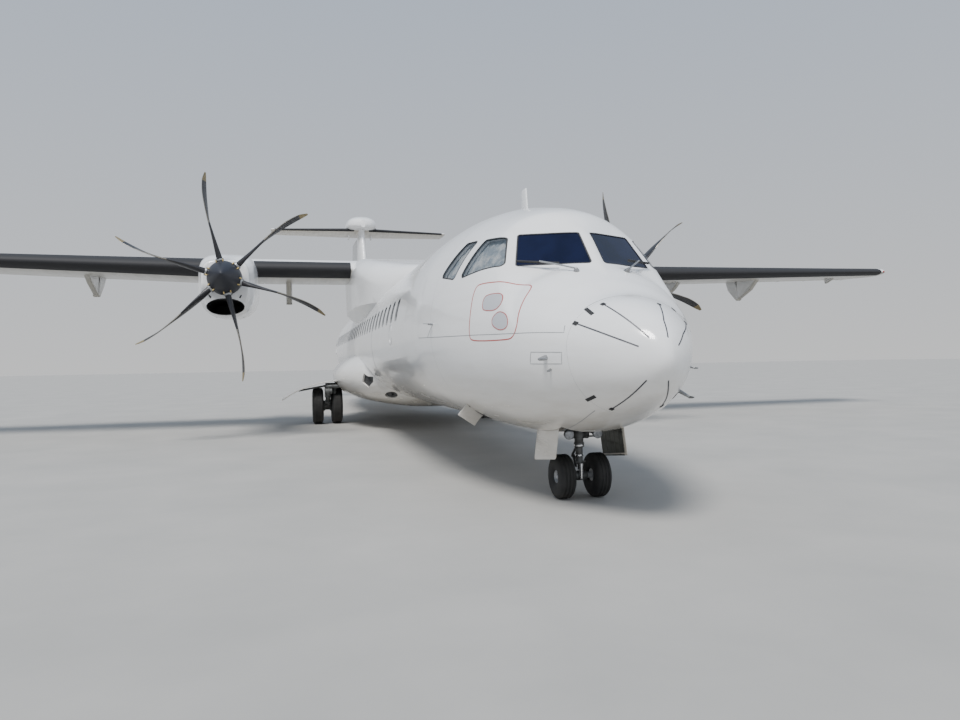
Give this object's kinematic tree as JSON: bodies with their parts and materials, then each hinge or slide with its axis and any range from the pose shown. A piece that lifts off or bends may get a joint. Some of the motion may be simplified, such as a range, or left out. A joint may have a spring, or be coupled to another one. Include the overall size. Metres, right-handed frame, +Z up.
{
  "type": "high-wing turboprop airliner",
  "caption": "Parked high-wing turboprop airliner with a T-tail, side-mounted main gear pods, propellers on wing nacelles, and doors, flaps and control surfaces that move.",
  "frame": {"origin": "on the ground, under the middle of the aircraft's length and of its span", "axes": "+Y along the fuselage towards the tail, +X to the aircraft's own left side, +Z up"},
  "size_m": [27.05, 27.1658, 7.65],
  "materials": {
    "fuselage_paint": "glossy white paint on metal skin",
    "composite_paint": "glossy white paint on composite skin",
    "wing_paint": "satin pale grey paint on composite skin",
    "flight_deck_glass": "dark heated glass",
    "propeller_finish": "satin dark blue-grey composite",
    "spinner_finish": "matte black paint",
    "engine_metal": "bare heat-stained metal",
    "gear_paint": "grey paint on steel",
    "hub_metal": "grey cast wheels",
    "tyre": "black rubber",
    "deck_trim": "dark matte trim",
    "seat_cover": "dark blue-grey cloth"
  },
  "bodies": {
    "airframe": {"nose_shell": "fuselage_paint", "forward_fuselage": "fuselage_paint", "centre_fuselage": "fuselage_paint", "aft_fuselage": "fuselage_paint", "tail_cone": "fuselage_paint", "radome": "composite_paint", "wing_fairing": "composite_paint", "nacelle_left": "composite_paint", "nacelle_right": "composite_paint", "fin": "composite_paint", "belly_fairing": "composite_paint", "nose_gear_door_left": "composite_paint", "nose_gear_door_right": "composite_paint", "main_gear_door_left": "composite_paint", "main_gear_door_right": "composite_paint", "wing_centre": "wing_paint", "outer_wing_left": "wing_paint", "outer_wing_right": "wing_paint", "tailplane": "wing_paint", "windshield_left": "flight_deck_glass", "windshield_right": "flight_deck_glass", "side_window_left": "flight_deck_glass", "side_window_right": "flight_deck_glass", "rear_window_left": "flight_deck_glass", "rear_window_right": "flight_deck_glass", "engine_left": "engine_metal", "engine_right": "engine_metal", "nose_leg": "gear_paint", "main_leg_left": "gear_paint", "main_leg_right": "gear_paint", "instrument_panel": "deck_trim", "pilot_seat_left": "seat_cover", "pilot_seat_right": "seat_cover"},
    "cargo_door": {"cargo_door": "fuselage_paint"},
    "passenger_door": {"passenger_door": "fuselage_paint"},
    "service_door": {"service_door": "fuselage_paint"},
    "inner_flap_left": {"inner_flap_left": "wing_paint"},
    "inner_flap_right": {"inner_flap_right": "wing_paint"},
    "outer_flap_left": {"outer_flap_left": "wing_paint"},
    "outer_flap_right": {"outer_flap_right": "wing_paint"},
    "aileron_left": {"aileron_left": "wing_paint"},
    "aileron_right": {"aileron_right": "wing_paint"},
    "elevator_left": {"elevator_left": "wing_paint"},
    "elevator_right": {"elevator_right": "wing_paint"},
    "rudder": {"rudder": "composite_paint"},
    "propeller_left": {"propeller_left": "propeller_finish", "spinner_left": "spinner_finish"},
    "propeller_right": {"propeller_right": "propeller_finish", "spinner_right": "spinner_finish"},
    "nose_steering": {"nose_fork": "gear_paint"},
    "nose_wheels": {"nose_hubs": "hub_metal", "nose_tyre_port": "tyre", "nose_tyre_starboard": "tyre"},
    "main_wheels_left": {"main_left_hubs": "hub_metal", "main_left_tyre_port": "tyre", "main_left_tyre_starboard": "tyre"},
    "main_wheels_right": {"main_right_hubs": "hub_metal", "main_right_tyre_port": "tyre", "main_right_tyre_starboard": "tyre"}
  },
  "joints": [
    {"name": "cargo_door_hinge", "type": "hinge", "parent": "airframe", "child": "cargo_door", "pos_m": [1.1157, -8.998, 2.71], "axis": [-0.0433, -0.9991, 0], "range_deg": [0, 110]},
    {"name": "passenger_door_hinge", "type": "hinge", "parent": "airframe", "child": "passenger_door", "pos_m": [1.08423, 6.357, 1.215], "axis": [-0.1726, 0.985, 0], "range_deg": [0, 115]},
    {"name": "service_door_hinge", "type": "hinge", "parent": "airframe", "child": "service_door", "pos_m": [-1.39337, 6.367, 1.88], "axis": [0, 0, 1], "range_deg": [0, 110]},
    {"name": "outer_flap_left_hinge", "type": "hinge", "parent": "airframe", "child": "outer_flap_left", "pos_m": [7.1, -0.853, 3.09], "axis": [-1, 0, 0], "range_deg": [0, 35]},
    {"name": "outer_flap_right_hinge", "type": "hinge", "parent": "airframe", "child": "outer_flap_right", "pos_m": [-7.1, -0.853, 3.09], "axis": [-1, 0, 0], "range_deg": [0, 35]},
    {"name": "inner_flap_left_hinge", "type": "hinge", "parent": "airframe", "child": "inner_flap_left", "pos_m": [2.9, -0.853, 2.93], "axis": [-1, 0, 0], "range_deg": [0, 35]},
    {"name": "inner_flap_right_hinge", "type": "hinge", "parent": "airframe", "child": "inner_flap_right", "pos_m": [-2.9, -0.853, 2.93], "axis": [-1, 0, 0], "range_deg": [0, 35]},
    {"name": "aileron_left_hinge", "type": "hinge", "parent": "airframe", "child": "aileron_left", "pos_m": [9.76, -0.793, 3.65908], "axis": [0.9996, 0, 0.0294], "range_deg": [-14, 14]},
    {"name": "aileron_right_hinge", "type": "hinge", "parent": "airframe", "child": "aileron_right", "pos_m": [-9.76, -0.793, 3.65908], "axis": [0.9996, 0, -0.0294], "range_deg": [-14, 14]},
    {"name": "elevator_left_hinge", "type": "hinge", "parent": "airframe", "child": "elevator_left", "pos_m": [0.5, 12.617, 7.02], "axis": [0.9999, 0.0098, 0.0033], "range_deg": [-13, 23]},
    {"name": "elevator_right_hinge", "type": "hinge", "parent": "airframe", "child": "elevator_right", "pos_m": [-0.5, 12.617, 7.02], "axis": [0.9999, -0.0098, -0.0033], "range_deg": [-13, 23]},
    {"name": "rudder_hinge", "type": "hinge", "parent": "airframe", "child": "rudder", "pos_m": [0, 11.577, 3.42], "axis": [0, 0.2139, 0.9769], "range_deg": [-42, 12]},
    {"name": "propeller_left_spin", "type": "hinge", "parent": "airframe", "child": "propeller_left", "pos_m": [4.05, -4.593, 3.07], "axis": [0, 1, 0], "continuous": true},
    {"name": "propeller_right_spin", "type": "hinge", "parent": "airframe", "child": "propeller_right", "pos_m": [-4.05, -4.593, 3.07], "axis": [0, 1, 0], "continuous": true},
    {"name": "nose_steering_turn", "type": "hinge", "parent": "airframe", "child": "nose_steering", "pos_m": [0, -11.753, 0.57], "axis": [0, 0, 1], "range_deg": [-60, 60]},
    {"name": "nose_wheels_roll", "type": "hinge", "parent": "nose_steering", "child": "nose_wheels", "pos_m": [0, -11.753, 0.225], "axis": [1, 0, 0], "continuous": true},
    {"name": "main_wheels_left_roll", "type": "hinge", "parent": "airframe", "child": "main_wheels_left", "pos_m": [2.05, -0.983, 0.432], "axis": [1, 0, 0], "continuous": true},
    {"name": "main_wheels_right_roll", "type": "hinge", "parent": "airframe", "child": "main_wheels_right", "pos_m": [-2.05, -0.983, 0.432], "axis": [1, 0, 0], "continuous": true}
  ],
  "couplings": [
    {"joint": "outer_flap_right_hinge", "follows": "outer_flap_left_hinge", "ratio": 1},
    {"joint": "inner_flap_left_hinge", "follows": "outer_flap_left_hinge", "ratio": 1},
    {"joint": "inner_flap_right_hinge", "follows": "outer_flap_left_hinge", "ratio": 1},
    {"joint": "aileron_right_hinge", "follows": "aileron_left_hinge", "ratio": -1},
    {"joint": "elevator_right_hinge", "follows": "elevator_left_hinge", "ratio": 1}
  ]
}
